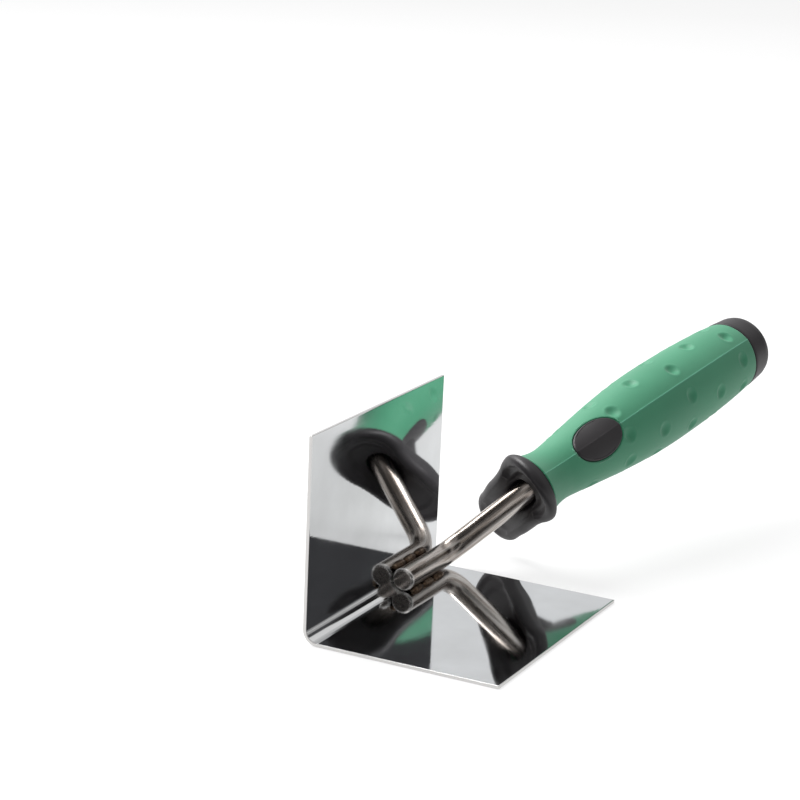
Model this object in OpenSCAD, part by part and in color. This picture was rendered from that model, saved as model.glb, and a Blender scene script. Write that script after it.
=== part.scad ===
// Inside corner trowel: a folded steel blade, a bent round tang welded into
// its valley, and a two-component handle with a finger guard.
//
// Frame: +X runs along the corner line from the toe to the handle. The lower
// wing's working face lies on z = 0 and reaches towards -Y. The upper wing's
// working face lies on y = 0 and reaches towards +Z. The origin is the toe
// end of the line where those two faces would meet.

/* [Blade] */
// Length of the blade along the corner line
blade_len = 80; // [50:1:130]
// Width of each wing, measured on its working face
wing_w = 60; // [40:1:110]
// Thickness of the sheet
sheet_t = 1; // [0.6:0.1:2]
// Outer radius of the fold
fold_r = 4.5; // [2.5:0.1:8]

/* [Tang] */
// Diameter of the round bar
tang_d = 7; // [5:0.1:8]
// Length of the leg that is welded in the valley, up to the heel
weld_leg = 29; // [20:1:45]
// How far past the heel the leg's centre line meets the riser's
knee_past_heel = 0.6; // [-3:0.1:6]
// Angle between the riser and the corner line
riser_angle = 73.5; // [65:0.5:80]
// Height of the handle axis over the welded leg, where riser and axis meet
riser_height = 35.4; // [28:0.2:50]
// Centre line radius of the lower bend
knee_r = 9; // [7:0.5:12]
// Centre line radius of the upper bend
shoulder_r = 12; // [8:0.5:14]
// Length of the tang inside the handle, from where riser and axis meet
tang_in_handle = 55; // [35:1:80]
// Chamfer on both cut ends of the bar
tang_chamfer = 0.6; // [0.2:0.1:1]

/* [Welds] */
// Radius of a weld bead
bead_r = 1.7; // [1:0.1:2.2]
// Length of one stitch weld
stitch_len = 6; // [4:0.5:7]
// Number of stitch welds on each side
stitches = 3; // [1:1:3]

/* [Grip] */
// Angle between the handle axis and the corner line
grip_angle = 16; // [5:0.5:30]
// Length of the handle from its datum to the end cap
grip_len = 102; // [85:1:130]
// Diameter at the neck
neck_d = 17.6; // [17:0.2:20]
// Diameter at the thickest place
belly_d = 27.2; // [24:0.2:32]
// Diameter where the grip meets the end cap
tail_d = 23.4; // [20:0.2:26]
// Diameter of the flare that meets the collar
flare_d = 22.4; // [21:0.2:24]
// Distance from the datum to the neck
neck_at = 1.5; // [0:0.5:6]
// Distance from the datum to the thickest place
belly_at = 59; // [52:1:70]

/* [Core] */
// Outer diameter of the core under the grip
core_d = 14; // [12:0.2:15]
// Radial gap between the tang and the bore moulded round it
tang_gap = 0.02; // [0:0.01:0.1]
// Radial gap round the tang in the mouth of the collar
mouth_gap = 1.4; // [1:0.1:2]
// Height of the tongue's side edges below the axis
tongue_edge = 4.7; // [4:0.1:6]
// Distance from the datum to the tongue's rear end
tongue_end = 21.5; // [18:0.5:32]
// Length of the oval thumb pad
pad_len = 20.5; // [16:0.5:24]
// Width of the oval thumb pad
pad_w = 12.5; // [10:0.5:16]
// Distance from the datum to the middle of the thumb pad
pad_at = 17; // [15:0.5:30]

/* [Guard] */
// Diameter of the collar
collar_d = 23.2; // [22.6:0.2:26]
// Thickness of the collar at its top
collar_t = 5.8; // [5:0.2:8]
// How far the guard's own datum sits ahead of the handle's
guard_ahead = 4.3; // [3:0.1:6]
// How far the guard's own datum sits below the handle axis
guard_low = 1.7; // [0.6:0.1:2.2]
// Distance of the guard's tip below the guard's datum
guard_drop = 30.2; // [26:0.1:38]
// Half width of the guard at its waist
waist_w = 9.4; // [8:0.2:10]
// Radius of the guard's lobe, seen from the front
lobe_r = 8.8; // [8.4:0.2:11]
// Half width of the web between guard and neck
web_w = 5.5; // [4:0.2:6.4]

/* [End cap] */
// Length of the end cap beyond the grip
cap_len = 10.4; // [7:0.2:14]
// Diameter of the cap at its end
cap_end_d = 21.4; // [18:0.2:22]
// Radius of the cap's rounded edge
cap_edge_r = 2; // [1:0.1:3]
// Diameter of the spigot that holds the cap in the core
spigot_d = 8; // [6:0.2:9]
// Length of the spigot
spigot_len = 14; // [8:0.5:18]
// Radial gap round the spigot
spigot_gap = 0.05; // [0:0.01:0.15]

/* [Hidden] */

$fn = 96;
curve_steps = 10;
far = 60;
// how far a straight length of bar reaches into a bend
lap = 0.5;
// how much thicker the bar's radius is in a bend
bend_swell = 0.03;

tang_r = tang_d / 2;
bend_bar_r = tang_r + bend_swell;
fold_inner_r = fold_r - sheet_t;
// the bar rests on both wings, or in the fold where the fold is rounder
seat_r = max(fold_inner_r, bend_bar_r);
leg_h = sqrt(2) * (sheet_t + seat_r) - (seat_r - bend_bar_r);
leg_start = blade_len - weld_leg;
knee_x = blade_len + knee_past_heel;
shoulder_x = knee_x + riser_height / tan(riser_angle);
shoulder_h = leg_h + riser_height;
shoulder_turn = riser_angle - grip_angle;
// the datum is where the tang has turned into the handle axis
datum_past_shoulder = 3;
datum_x = shoulder_x + datum_past_shoulder * cos(grip_angle);
datum_h = shoulder_h + datum_past_shoulder * sin(grip_angle);
tang_end = tang_in_handle - datum_past_shoulder;

neck_r = neck_d / 2;
belly_r = belly_d / 2;
tail_r = tail_d / 2;
flare_r = flare_d / 2;
// the grip starts inside the collar
flare_front = -11.5;
core_r = core_d / 2;

// guard outline from the side, about its own datum: [along the axis, above it]
collar_rise = 1;
collar_r = collar_d / 2;
collar_top = collar_rise + collar_r;
face_u = -6;
nose_u = face_u - 6.1;
collar_back_u = nose_u + collar_t;
tip_h = -guard_drop;
throat_u = 4;
throat_h = tip_h + 12.7;
lobe_h = tip_h + lobe_r;
waist_h = (lobe_h - 4) / 2;

function bezier(a, b, c, d) = [
  for (i = [0 : curve_steps])
    let (t = i / curve_steps, s = 1 - t)
      a * s * s * s + 3 * b * s * s * t + 3 * c * s * t * t + d * t * t * t
];

// radius of the grip along its axis, as [radius, distance] points
flare_curve = bezier(
  [flare_r, flare_front], [neck_r + 1.2, -8], [neck_r, -4], [neck_r, neck_at]
);
swell_curve = bezier(
  [neck_r, neck_at], [neck_r, neck_at + 6], [belly_r, belly_at - 24], [belly_r, belly_at]
);
taper_curve = bezier(
  [belly_r, belly_at],
  [belly_r, belly_at + 18],
  [tail_r + 1.2, grip_len - 12],
  [tail_r, grip_len]
);
grip_outline = concat(
  [[0, flare_front]], flare_curve, swell_curve, taper_curve, [[0, grip_len]]
);

// front of the collar and guard, from the nose down to the tip
front_curve = concat(
  bezier([nose_u, collar_top - 0.8], [nose_u + 1.5, 8.5], [face_u - 0.6, 3], [face_u, -2]),
  bezier([face_u, -2], [face_u + 0.7, -9], [-2.8, tip_h + 9.7], [1.2, tip_h + 1.1])
);
// round the tip and up the finger side
finger_curve = concat(
  bezier([1.2, tip_h + 1.1], [2, tip_h - 0.4], [5, tip_h - 0.4], [5.9, tip_h + 2.5]),
  bezier([5.9, tip_h + 2.5], [6.6, tip_h + 4.5], [throat_u - 0.2, tip_h + 8.7], [throat_u, throat_h])
);
// back of the collar, hidden in the grip below its edge
back_curve = bezier(
  [throat_u, throat_h], [throat_u, -6], [-4.4, 1], [collar_back_u, collar_top]
);
web_curve = bezier(
  [throat_u, throat_h], [throat_u + 0.1, throat_h + 4.5], [7.5, -10.3], [12.9, guard_low - neck_r - 0.9]
);

// guard outline from the front: [above the axis, sideways], one half
waist_curve = concat(
  bezier([-4, 11.3 / 12.2 * collar_r], [-7, waist_w + 0.8], [waist_h + 3, waist_w], [waist_h, waist_w]),
  bezier([waist_h, waist_w], [waist_h - 3, waist_w], [lobe_h + 3, lobe_r], [lobe_h, lobe_r])
);
collar_arc = [
  for (a = [0 : 6 : 114])
    [collar_rise + collar_r * cos(a), collar_r * sin(a)]
];
lobe_arc = [
  for (a = [90 : 6 : 180])
    [lobe_h + lobe_r * cos(a), lobe_r * sin(a)]
];
half_outline = concat(collar_arc, waist_curve, lobe_arc);
other_half = [for (i = [len(half_outline) - 2 : -1 : 1]) [half_outline[i][0], -half_outline[i][1]]];
front_outline = concat(half_outline, other_half);

function swap(points) = [for (p = points) [-p[1], p[0]]];

// ---- placing ----

// plane of the tang: x along the corner line, z up the bisector of the wings
module in_valley() {
  rotate([45, 0, 0]) children();
}

// z along the handle axis from the datum, x down towards the blade
module on_handle() {
  in_valley()
    translate([datum_x, 0, datum_h])
      rotate([0, 90 - grip_angle, 0])
        children();
}

// ---- tang ----

// The bar is built as a chain: each piece starts where the one before it
// ends, and runs along its own +X. A bend turns it towards +Z. Straight
// pieces reach a little way into the bends, which are a hair thicker.

module rod(length, d) {
  translate([-lap, 0, 0])
    rotate([0, 90, 0])
      cylinder(d = d, h = length + lap);
}

// straight bar with a chamfer at its far end
module cut_rod(length, d) {
  rod(length - tang_chamfer, d);
  translate([length - tang_chamfer, 0, 0])
    rotate([0, 90, 0])
      cylinder(d1 = d, d2 = d - 2 * tang_chamfer, h = tang_chamfer);
}

module bend(r, turn, d) {
  translate([0, 0, r])
    rotate([90, 0, 0])
      rotate([0, 0, -90])
        rotate_extrude(angle = turn)
          translate([r, 0]) circle(d = d + 2 * bend_swell);
}

// moves its children to the end of a bend
module past_bend(r, turn) {
  translate([0, 0, r])
    rotate([0, -turn, 0])
      translate([0, 0, -r])
        children();
}

knee_tangent = knee_r * tan(riser_angle / 2);
shoulder_tangent = shoulder_r * tan(shoulder_turn / 2);
riser_len = riser_height / sin(riser_angle) - knee_tangent - shoulder_tangent;
leg_len = knee_x - knee_tangent - leg_start;

// both bends and the riser between them, with children set where they end
module tang_riser(d) {
  translate([knee_x - knee_tangent, 0, leg_h]) {
    bend(knee_r, riser_angle, d);
    past_bend(knee_r, riser_angle) {
      rod(riser_len + lap, d);
      translate([riser_len, 0, 0])
        mirror([0, 0, 1]) {
          bend(shoulder_r, shoulder_turn, d);
          past_bend(shoulder_r, shoulder_turn) children();
        }
    }
  }
}

module tang() {
  color("silver")
    in_valley() {
      translate([knee_x - knee_tangent, 0, leg_h])
        mirror([1, 0, 0])
          cut_rod(leg_len, tang_d);
      tang_riser(tang_d) cut_rod(tang_in_handle - shoulder_tangent, tang_d);
    }
}

// ---- blade ----

module blade() {
  color("gainsboro")
    rotate([90, 0, 90])
      linear_extrude(height = blade_len)
        union() {
          translate([-wing_w, 0]) square([wing_w - fold_r, sheet_t]);
          translate([-sheet_t, fold_r]) square([sheet_t, wing_w - fold_r]);
          intersection() {
            translate([-fold_r, fold_r])
              difference() {
                circle(r = fold_r);
                circle(r = fold_inner_r);
              }
            translate([-fold_r, 0]) square(fold_r);
          }
        }
}

// ---- welds ----

// beads in the nip between the bar and the lower wing
module weld_row() {
  pitch = (weld_leg - knee_tangent - 2) / stitches;
  centre_off = leg_h / sqrt(2);
  for (i = [0 : stitches - 1])
    translate([leg_start + 1 + i * pitch, 0, 0])
      rotate([90, 0, 90])
        linear_extrude(height = min(stitch_len, pitch - 0.5))
          difference() {
            intersection() {
              translate([-centre_off - tang_r * 0.8, sheet_t + 0.3]) circle(r = bead_r);
              translate([-far, sheet_t]) square([far, far]);
            }
            translate([-centre_off, centre_off]) circle(r = tang_r);
          }
}

module weld_lower() {
  color("tan") weld_row();
}

// the same row on the upper wing, mirrored in the bisector plane
module weld_upper() {
  color("tan") mirror([0, 1, 1]) weld_row();
}

// ---- handle ----

module grip_body() {
  rotate_extrude() polygon(grip_outline);
}

// prism of a side outline, reaching the same distance to both sides
module side_prism(points, half_w) {
  translate([0, half_w, 0])
    rotate([90, 0, 0])
      linear_extrude(height = 2 * half_w)
        polygon(swap(points));
}

// moves its children from the guard's datum to the handle's
module at_guard() {
  translate([guard_low, 0, -guard_ahead]) children();
}

module guard_plate() {
  intersection() {
    side_prism(concat(front_curve, finger_curve, back_curve), collar_r + 1);
    translate([0, 0, -far / 2])
      linear_extrude(height = far)
        polygon([for (p = front_outline) [-p[0], p[1]]]);
  }
}

// everything ahead of the guard's back face
module ahead_of_guard() {
  side_prism(
    concat([[-far, throat_h]], back_curve, [[collar_back_u, far], [-far, far]]),
    far / 2
  );
}

module tongue_prism() {
  tongue_r = 10.6;
  tongue_start = face_u - guard_ahead + 2.5;
  translate([tongue_edge, 0, 0])
    rotate([90, 0, 90])
      linear_extrude(height = far / 2) {
        translate([-tongue_r, tongue_start])
          square([2 * tongue_r, tongue_end - tongue_r - tongue_start]);
        translate([0, tongue_end - tongue_r]) circle(r = tongue_r);
      }
}

module pad_prism() {
  rotate([90, 0, -90])
    linear_extrude(height = far / 2)
      polygon([
        for (a = [0 : 7.5 : 352.5])
          [pad_w / 2 * cos(a), pad_at + pad_len / 2 * sin(a)]
      ]);
}

module web() {
  web_top = guard_low - tongue_edge - 0.3;
  side_prism(concat(web_curve, [[12.9, web_top], [0, web_top]]), web_w);
}

module handle_core() {
  core_start = face_u - guard_ahead + 2.5;
  color("dimgray")
    difference() {
      union() {
        on_handle() {
          translate([0, 0, core_start])
            cylinder(r = core_r, h = grip_len - core_start);
          at_guard() {
            guard_plate();
            web();
          }
          intersection() {
            grip_body();
            union() {
              tongue_prism();
              pad_prism();
            }
          }
        }
      }
      in_valley() tang_riser(tang_d + 2 * mouth_gap);
      on_handle() {
        translate([0, 0, -1]) cylinder(r = tang_r + tang_gap, h = tang_end + 1);
        translate([0, 0, grip_len - spigot_len])
          cylinder(d = spigot_d + 2 * spigot_gap, h = spigot_len + 1);
      }
    }
}

module soft_grip() {
  color("seagreen")
    on_handle()
      difference() {
        grip_body();
        translate([0, 0, flare_front - 1]) cylinder(r = core_r, h = grip_len + far);
        at_guard() ahead_of_guard();
        tongue_prism();
        pad_prism();
      }
}

module end_cap() {
  cap_end = grip_len + cap_len;
  cap_end_r = cap_end_d / 2;
  edge_arc = [
    for (a = [0 : 15 : 90])
      [cap_end_r - cap_edge_r + cap_edge_r * cos(a), cap_end - cap_edge_r + cap_edge_r * sin(a)]
  ];
  color("dimgray")
    on_handle() {
      rotate_extrude()
        polygon(concat([[0, grip_len], [tail_r - 0.3, grip_len], [tail_r - 0.1, grip_len + 0.8]],
          edge_arc, [[0, cap_end]]));
      translate([0, 0, grip_len - spigot_len + 0.5]) cylinder(d = spigot_d, h = spigot_len);
    }
}

blade();
tang();
weld_lower();
weld_upper();
handle_core();
soft_grip();
end_cap();
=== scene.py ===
# %% [markdown]
# # An inside corner trowel
# A plasterer runs this tool down the inside corner of a room: one pass shapes both walls.
# It is a sheet of polished steel folded to a right angle, a bent round bar welded into
# the fold, and a plastic handle with a soft green grip. Nothing on it moves, so every
# piece here rides on one body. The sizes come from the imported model, which is loaded
# first and is never changed.

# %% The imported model
import math

import bpy
import numpy as np
from mathutils import Matrix, Vector


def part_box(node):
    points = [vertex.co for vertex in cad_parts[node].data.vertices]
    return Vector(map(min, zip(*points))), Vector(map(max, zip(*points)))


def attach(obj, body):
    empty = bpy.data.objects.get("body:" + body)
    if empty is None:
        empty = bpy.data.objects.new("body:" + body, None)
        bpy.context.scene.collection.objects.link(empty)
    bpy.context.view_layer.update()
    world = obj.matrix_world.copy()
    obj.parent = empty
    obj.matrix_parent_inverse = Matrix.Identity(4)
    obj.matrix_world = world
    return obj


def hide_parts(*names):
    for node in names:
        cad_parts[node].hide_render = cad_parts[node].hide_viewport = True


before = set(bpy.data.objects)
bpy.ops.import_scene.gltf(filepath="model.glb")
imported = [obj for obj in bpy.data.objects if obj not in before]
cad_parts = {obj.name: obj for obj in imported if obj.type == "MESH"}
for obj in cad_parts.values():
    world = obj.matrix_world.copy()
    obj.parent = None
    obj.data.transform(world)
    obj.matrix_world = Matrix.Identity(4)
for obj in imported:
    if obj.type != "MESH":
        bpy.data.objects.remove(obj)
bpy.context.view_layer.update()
BODY = "root"
MM = 0.001
print("packed nodes:", sorted(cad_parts))

# %% [markdown]
# ## Frames to think in
# The blade is easiest in the row frame: x along the corner, one wing flat on z = 0, the
# other standing on y = 0. The bar and the handle lie in the plane that halves the corner,
# so they get frames of their own. The valley frame has x along the corner, h up out of
# the fold and w sideways. The handle frame has u along the handle, v away from the blade
# and w sideways. All three are in millimetres. Two functions turn the points of the valley
# and of the handle into the row.

# %% Sizes of the steel
blade_low, blade_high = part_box("blade")
BLADE_LEN = (blade_high.x - blade_low.x) / MM
WING = (blade_high.z - blade_low.z) / MM
SHEET = 1.0
FOLD_R = 4.5
BAR_R = 3.5
WELD_LEG = 29.0
KNEE_R = 9.0
SHOULDER_R = 12.0
RISER_ANGLE = math.radians(73.5)
RISER_HEIGHT = 35.4
GRIP_ANGLE = math.radians(16.0)
print("blade", round(BLADE_LEN, 2), "x", round(WING, 2), "mm")

# %% From the valley and the handle to the row
ROOT2 = math.sqrt(2.0)
LEG_H = ROOT2 * (SHEET + BAR_R + 0.03)
KNEE_X = BLADE_LEN + 0.6
SHOULDER = np.array([KNEE_X + RISER_HEIGHT / math.tan(RISER_ANGLE), LEG_H + RISER_HEIGHT])
PAST_SHOULDER = 3.0
DATUM = SHOULDER + PAST_SHOULDER * np.array([math.cos(GRIP_ANGLE), math.sin(GRIP_ANGLE)])


def valley_to_row(points):
    """(x, h, w) to the row: w and h are the two diagonals of the corner's square."""
    x, h, w = np.moveaxis(np.asarray(points, float), -1, 0)
    return np.stack([x, (w - h) / ROOT2, (w + h) / ROOT2], -1)


def handle_to_row(points):
    """(u, v, w) to the row: u and v are turned by the grip angle, then moved to the datum."""
    u, v, w = np.moveaxis(np.asarray(points, float), -1, 0)
    cos, sin = math.cos(GRIP_ANGLE), math.sin(GRIP_ANGLE)
    return valley_to_row(np.stack([DATUM[0] + u * cos - v * sin, DATUM[1] + u * sin + v * cos, w], -1))


print("handle datum in the row, mm:", handle_to_row([0, 0, 0]).round(2))

# %% [markdown]
# ## Turning arrays into meshes
# Most pieces are a stack of rings: each ring has the same number of points, neighbours
# are joined by quads, and both ends are closed by a fan to one pole. A closed surface
# has a signed volume, and a negative one says that the faces look inwards. The helper
# turns them round, so a mirrored shape comes out right as well.

# %% Rings, joined and closed
def ring_quads(rows, columns):
    """Quads between neighbouring rows of a grid whose columns close into a ring."""
    row = np.arange(rows - 1)[:, None] * columns
    column = np.arange(columns)[None, :]
    after = (column + 1) % columns
    below = row + columns
    return np.stack([row + column, row + after, below + after, below + column], -1).reshape(-1, 4)


def fan(ring, pole):
    """Triangles from each side of a ring to one pole."""
    ring = np.asarray(ring)
    return np.stack([ring, np.roll(ring, -1), np.full(len(ring), pole)], -1)


def closed_rings(rings, first_pole, last_pole):
    """Points and faces of a stack of rings with a pole at each end."""
    rows, columns = rings.shape[:2]
    points = np.vstack([rings.reshape(-1, 3), [first_pole], [last_pole]])
    last_ring = np.arange(columns) + (rows - 1) * columns
    faces = ring_quads(rows, columns).tolist()
    faces += fan(np.arange(columns)[::-1], rows * columns).tolist()
    faces += fan(last_ring, rows * columns + 1).tolist()
    return points, faces


print("quads between three rings of four points:", len(ring_quads(3, 4)))


# %% From points and faces to a piece
def volume(points, faces):
    """Signed volume: the sum over triangles of a . (b x c) / 6."""
    total = 0.0
    for sides in (3, 4):
        f = np.array([q for q in faces if len(q) == sides], int).reshape(-1, sides)
        for k in range(1, sides - 1):
            a, b, c = points[f[:, 0]], points[f[:, k]], points[f[:, k + 1]]
            total += (a * np.cross(b, c)).sum() / 6
    return total


def add_piece(name, points, faces, material, slot, nodes=(), **attributes):
    """Makes the mesh of a piece from row points in mm, ties it to the body and hides the imported parts it
    replaces.
    """
    if volume(points, faces) < 0:
        faces = [face[::-1] for face in faces]
    mesh = bpy.data.meshes.new(name)
    mesh.from_pydata((points * MM).tolist(), [], faces)
    for key, values in attributes.items():
        kind = "FLOAT" if values.ndim == 1 else "FLOAT_VECTOR"
        layer = mesh.attributes.new(key, kind, "POINT")
        layer.data.foreach_set("value" if values.ndim == 1 else "vector", values.astype(np.float32).ravel())
    mesh.shade_smooth()
    mesh.materials.append(material)
    piece = bpy.data.objects.new(name, mesh)
    bpy.context.scene.collection.objects.link(piece)
    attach(piece, BODY)
    if nodes:
        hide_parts(*nodes)
    print(f"{name}: {len(points)} points, {len(faces)} faces, {abs(volume(points, faces)):.0f} mm3")


# %% Curves and soft steps
def bezier(a, b, c, d, steps):
    """Cubic curve from a to d that leaves towards b and arrives from c."""
    t = np.linspace(0, 1, steps)[:, None]
    a, b, c, d = (np.array(p, float) for p in (a, b, c, d))
    return a * (1 - t) ** 3 + 3 * b * (1 - t) ** 2 * t + 3 * c * (1 - t) * t**2 + d * t**3


def smooth(x, low, high):
    """0 below low, 1 above high, and an S between them."""
    t = np.clip((x - low) / (high - low), 0, 1)
    return t * t * (3 - 2 * t)


print("soft step at a quarter and a half:", smooth(np.array([0.25, 0.5]), 0, 1).round(3))

# %% [markdown]
# ## Material helpers
# A material here is a Principled shader whose colour, roughness and bump come from noise.
# Small helpers keep each recipe short. One gives a noise, whose scale is in turns per metre,
# and a ramp turns its grey into colours. Others move a number from one range to another,
# blend two colours, do one step of arithmetic, and stack bumps on each other.

# %% Shader, coordinates and attributes
def shader_of(name, **sockets):
    """A new material, its node tree and its Principled shader, with constant sockets set."""
    material = bpy.data.materials.new(name)
    material.use_nodes = True
    tree = material.node_tree
    shader = tree.nodes["Principled BSDF"]
    for key, value in sockets.items():
        shader.inputs[key.replace("_", " ")].default_value = value
    return material, tree, shader


def object_vector(tree, stretch=(1, 1, 1)):
    """Object coordinates, stretched along the row's axes."""
    place = tree.nodes.new("ShaderNodeTexCoord")
    mapping = tree.nodes.new("ShaderNodeMapping")
    mapping.inputs["Scale"].default_value = stretch
    tree.links.new(place.outputs["Object"], mapping.inputs["Vector"])
    return mapping.outputs["Vector"]


def attribute(tree, name, output="Fac"):
    """What the mesh stores at each point under a name: a number, or a vector."""
    node = tree.nodes.new("ShaderNodeAttribute")
    node.attribute_name = name
    return node.outputs[output]


# %% Noise, ramp and remap
def noise(tree, vector, scale, detail=3.0, roughness=0.55):
    """Soft random grey from 0 to 1, with finer layers added as detail goes up."""
    node = tree.nodes.new("ShaderNodeTexNoise")
    node.inputs["Scale"].default_value = scale
    node.inputs["Detail"].default_value = detail
    node.inputs["Roughness"].default_value = roughness
    tree.links.new(vector, node.inputs["Vector"])
    return node.outputs["Fac"]


def ramp(tree, value, *stops):
    """Stops are (position, colour)."""
    node = tree.nodes.new("ShaderNodeValToRGB")
    elements = node.color_ramp.elements
    while len(elements) < len(stops):
        elements.new(0.5)
    for element, (position, colour) in zip(elements, stops):
        element.position = position
        element.color = (*colour, 1)
    tree.links.new(value, node.inputs["Fac"])
    return node.outputs["Color"]


def remap(tree, value, low, high, to_low, to_high):
    """Straight line that takes low to to_low and high to to_high, and stops at both."""
    node = tree.nodes.new("ShaderNodeMapRange")
    for key, number in zip(("From Min", "From Max", "To Min", "To Max"), (low, high, to_low, to_high)):
        node.inputs[key].default_value = number
    tree.links.new(value, node.inputs["Value"])
    return node.outputs["Result"]


# %% Blend, arithmetic and bump
COLOUR_A, COLOUR_B, COLOUR_OUT = 6, 7, 2


def feed(tree, socket, value):
    """Sets a number or a colour on a socket, or links what another node gives."""
    if isinstance(value, (int, float)):
        socket.default_value = value
    elif isinstance(value, tuple):
        socket.default_value = (*value, 1)
    else:
        tree.links.new(value, socket)


def blend(tree, share, first, second, how="MIX"):
    """first (1 - share) + second share; with MULTIPLY and a share of 1, first times second."""
    node = tree.nodes.new("ShaderNodeMix")
    node.data_type = "RGBA"
    node.blend_type = how
    feed(tree, node.inputs["Factor"], share)
    feed(tree, node.inputs[COLOUR_A], first)
    feed(tree, node.inputs[COLOUR_B], second)
    return node.outputs[COLOUR_OUT]


def maths(tree, operation, first, second):
    """One step of arithmetic on two numbers that vary over the surface."""
    node = tree.nodes.new("ShaderNodeMath")
    node.operation = operation
    feed(tree, node.inputs[0], first)
    feed(tree, node.inputs[1], second)
    return node.outputs["Value"]


def bump(tree, shader, *layers):
    """Each layer is (height, strength, depth in metres), and rides on the one before it."""
    normal = None
    for height, strength, depth in layers:
        node = tree.nodes.new("ShaderNodeBump")
        node.inputs["Strength"].default_value = strength
        node.inputs["Distance"].default_value = depth
        tree.links.new(height, node.inputs["Height"])
        if normal is not None:
            tree.links.new(normal, node.inputs["Normal"])
        normal = node.outputs["Normal"]
    tree.links.new(normal, shader.inputs["Normal"])


# %% [markdown]
# ## Polished steel
# The sheet is stainless steel with a near mirror polish. It is metal at low roughness, so
# most of its look is what it reflects. What makes it real is small: faint polishing lines
# along the blade, a haze of fingerprints that only lifts the roughness, and cut edges that
# were deburred but never polished, which an attribute on the mesh marks.

# %% Blade steel
def blade_steel():
    """Mirror steel: roughness is the larger of a fingerprint haze and the dull of a cut edge."""
    material, tree, shader = shader_of("blade_steel", Metallic=1.0)
    place = object_vector(tree)
    smear = noise(tree, place, 45, 5)
    lines = noise(tree, object_vector(tree, (25, 2600, 2600)), 1, 2)
    edge = attribute(tree, "edge")
    tone = ramp(tree, smear, (0.3, (0.55, 0.555, 0.56)), (0.75, (0.64, 0.65, 0.66)))
    tree.links.new(blend(tree, edge, tone, (0.62, 0.61, 0.60)), shader.inputs["Base Color"])
    haze = remap(tree, smear, 0.42, 0.72, 0.035, 0.085)
    rough = maths(tree, "MAXIMUM", haze, remap(tree, edge, 0.1, 0.9, 0.0, 0.34))
    tree.links.new(rough, shader.inputs["Roughness"])
    bump(tree, shader, (lines, 0.012, 0.0002), (noise(tree, place, 9, 1), 0.05, 0.0004))
    return material


steel = blade_steel()
print("blade steel has", len(steel.node_tree.nodes), "nodes")

# %% [markdown]
# ## The blade
# The sheet's middle line runs up one wing, round the fold and up the other. Moving it by
# half a thickness both ways gives the outline of the cut. Near the two ends of the blade
# the outline shrinks a little, as a quarter of a circle, and that is the broken edge
# that a file leaves. Rows stand close together beside the edge, so that the flats stay
# flat right up to it and mirror cleanly.

# %% Blade outline
EDGE_R = 0.16


def fold_line(steps=20, flat_steps=46):
    """Middle line of the sheet as (y, z), with its normal towards the valley."""
    flat = np.linspace(0, 1, flat_steps)
    near_tip = np.r_[0, 0.25, 0.7] / (WING - FOLD_R)
    run = np.r_[near_tip, flat[1:]] * (WING - FOLD_R - EDGE_R) + EDGE_R
    turn = np.linspace(0, math.pi / 2, steps)[1:-1]
    middle_r = FOLD_R - SHEET / 2
    lower = np.c_[run - WING, np.full(len(run), SHEET / 2)]
    arc = np.c_[-FOLD_R + middle_r * np.sin(turn), FOLD_R - middle_r * np.cos(turn)]
    upper = np.c_[-lower[::-1, 1], -lower[::-1, 0]]
    normal = np.vstack([np.tile([0.0, 1.0], (len(run), 1)), np.c_[-np.sin(turn), np.cos(turn)],
                        np.tile([-1.0, 0.0], (len(run), 1))])
    return np.vstack([lower, arc, upper]), normal


def sheet_outline(inset):
    """Ring round the cut sheet: outer line, rounded tip, inner line, rounded tip."""
    line, normal = fold_line()
    half = SHEET / 2 - inset
    corner = EDGE_R - inset
    outer, inner = line - normal * half, line + normal * half
    angle = np.linspace(0, math.pi / 2, 5)[1:]
    rise, run = np.sin(angle) * corner, np.cos(angle) * corner
    reach = half - corner

    def tip(end, out, side):
        """Rounded corners from the outer line, over the tip and back to the inner line."""
        first = end + np.outer(rise, out) - np.outer(reach + run, side)
        second = end + np.outer(run[:-1], out) + np.outer(reach + rise[:-1], side)
        return np.vstack([first, end + np.outer([corner], out) + np.outer([reach], side), second])

    top = tip(line[-1], np.array([0.0, 1.0]), normal[-1])
    bottom = tip(line[0], np.array([-1.0, 0.0]), normal[0])[::-1]
    return np.vstack([outer, top, inner[::-1], bottom]), len(line), len(top)


print("blade outline points:", len(sheet_outline(0.0)[0]))

# %% Blade surface
NEARLY_ALL = 0.98
BESIDE_EDGE = np.array([0.4, 0.9])
FOLD_DULL = 0.35


def blade_surface():
    """The outline carried along x, smaller by the edge radius at the two ends."""
    round_off = np.linspace(0, math.pi / 2, 5)
    inset = EDGE_R * (1 - np.sin(round_off)) * NEARLY_ALL
    shift = EDGE_R * (1 - np.cos(round_off))
    body = np.linspace(0, BLADE_LEN, 61)[1:-1]
    x = np.r_[shift, BESIDE_EDGE, body, BLADE_LEN - BESIDE_EDGE[::-1], BLADE_LEN - shift[::-1]]
    insets = np.r_[inset, np.zeros(len(x) - 2 * len(inset)), inset[::-1]]
    outlines = [sheet_outline(i)[0] for i in insets]
    rings = np.stack([np.c_[np.full(len(o), at), o] for at, o in zip(x, outlines)])
    _, line_count, tip_count = sheet_outline(0.0)
    columns = rings.shape[1]
    outer = np.arange(line_count)
    inner = columns - 1 - tip_count - outer
    strip = np.c_[outer[:-1], outer[1:], inner[1:], inner[:-1]]
    top_tip = np.arange(line_count - 1, line_count + tip_count + 1)
    bottom_tip = np.r_[np.arange(columns - tip_count - 1, columns), 0]
    cap = strip.tolist() + [top_tip.tolist(), bottom_tip.tolist()]
    last = (len(x) - 1) * columns
    faces = ring_quads(len(x), columns).tolist()
    faces += [face[::-1] for face in cap] + [[i + last for i in face] for face in cap]
    return rings.reshape(-1, 3), faces


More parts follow.
